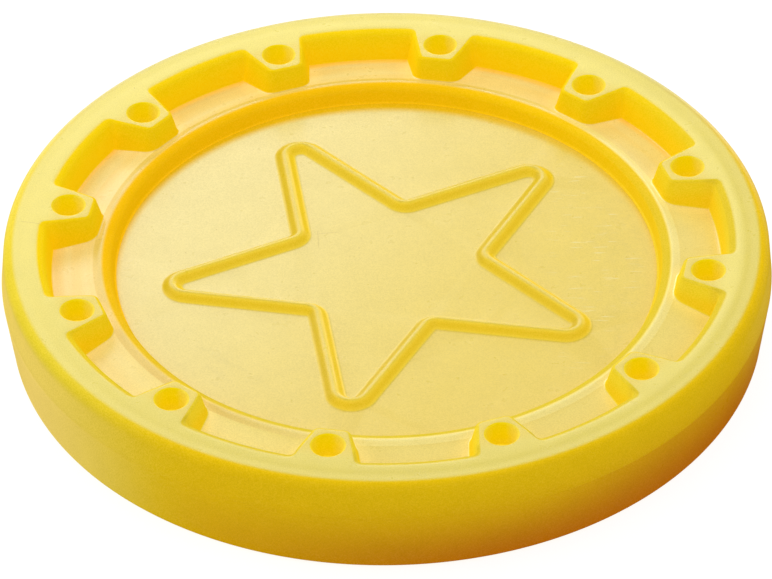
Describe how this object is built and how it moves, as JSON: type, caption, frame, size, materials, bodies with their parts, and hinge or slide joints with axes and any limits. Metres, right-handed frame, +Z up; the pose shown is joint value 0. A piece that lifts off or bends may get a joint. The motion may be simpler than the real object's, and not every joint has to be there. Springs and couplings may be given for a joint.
{
  "type": "game token",
  "caption": "Round translucent plastic game token: a rim ring with drilled lugs and pockets, pinned on a base disc with a raised star outline.",
  "frame": {"origin": "centre of the underside, on the plane that the token rests on", "axes": "+Z up through the token towards the star, -Y towards one tip of the star, +X through one lug"},
  "size_m": [0.029, 0.029, 0.0041],
  "materials": {
    "base_plastic": "translucent yellow, satin moulded floor with fine scratches",
    "ring_plastic": "translucent yellow, glossy moulded rim"
  },
  "bodies": {
    "root": {"base_disc": "base_plastic", "rim_ring": "ring_plastic"}
  },
  "joints": []
}
